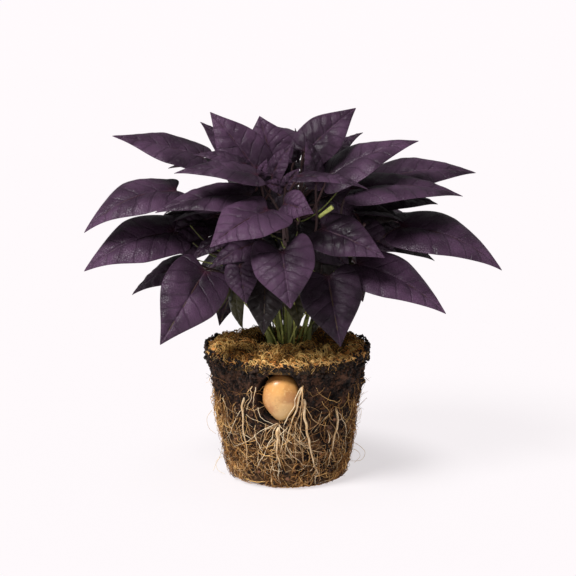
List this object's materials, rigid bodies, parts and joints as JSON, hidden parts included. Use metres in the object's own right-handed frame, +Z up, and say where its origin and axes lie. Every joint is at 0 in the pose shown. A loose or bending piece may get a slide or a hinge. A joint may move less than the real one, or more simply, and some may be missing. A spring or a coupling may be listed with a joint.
{
  "type": "sweet potato vine",
  "caption": "Bushy ornamental sweet potato vine with dark purple heart-shaped leaves, lifted out of its pot with a mossy, root-bound ball and a tuber showing at the front.",
  "frame": {"origin": "centre of the root ball's flat underside", "axes": "+Z up through the stems, -Y towards the viewer in the picture, where the tuber shows, +X to the viewer's right"},
  "size_m": [0.3514, 0.2514, 0.3183],
  "materials": {
    "leaf": "satin",
    "stem": "satin",
    "root": "matte",
    "potting_mix": "matte",
    "moss": "matte",
    "tuber_skin": "satin"
  },
  "bodies": {
    "root": {"leaf_a": "leaf", "leaf_aa": "leaf", "leaf_b": "leaf", "leaf_back_a": "leaf", "leaf_back_b": "leaf", "leaf_back_c": "leaf", "leaf_back_d": "leaf", "leaf_back_e": "leaf", "leaf_back_f": "leaf", "leaf_back_g": "leaf", "leaf_back_h": "leaf", "leaf_bb": "leaf", "leaf_c": "leaf", "leaf_cc": "leaf", "leaf_d": "leaf", "leaf_dd": "leaf", "leaf_e": "leaf", "leaf_ee": "leaf", "leaf_f": "leaf", "leaf_ff": "leaf", "leaf_g": "leaf", "leaf_gg": "leaf", "leaf_h": "leaf", "leaf_hh": "leaf", "leaf_i": "leaf", "leaf_j": "leaf", "leaf_jj": "leaf", "leaf_k": "leaf", "leaf_kk": "leaf", "leaf_l": "leaf", "leaf_l2": "leaf", "leaf_ll": "leaf", "leaf_m": "leaf", "leaf_mm": "leaf", "leaf_n": "leaf", "leaf_o": "leaf", "leaf_q": "leaf", "leaf_r": "leaf", "leaf_s": "leaf", "leaf_t": "leaf", "leaf_u": "leaf", "leaf_v": "leaf", "leaf_w": "leaf", "leaf_x": "leaf", "leaf_z": "leaf", "moss_mat": "moss", "root_ball": "potting_mix", "root_edge": "root", "root_inner": "root", "root_left": "root", "root_main": "root", "root_right": "root", "root_tap": "root", "stem_back": "stem", "stem_front": "stem", "stem_left": "stem", "stem_left_tall": "stem", "stem_middle": "stem", "stem_right": "stem", "tuber": "tuber_skin"}
  },
  "joints": []
}
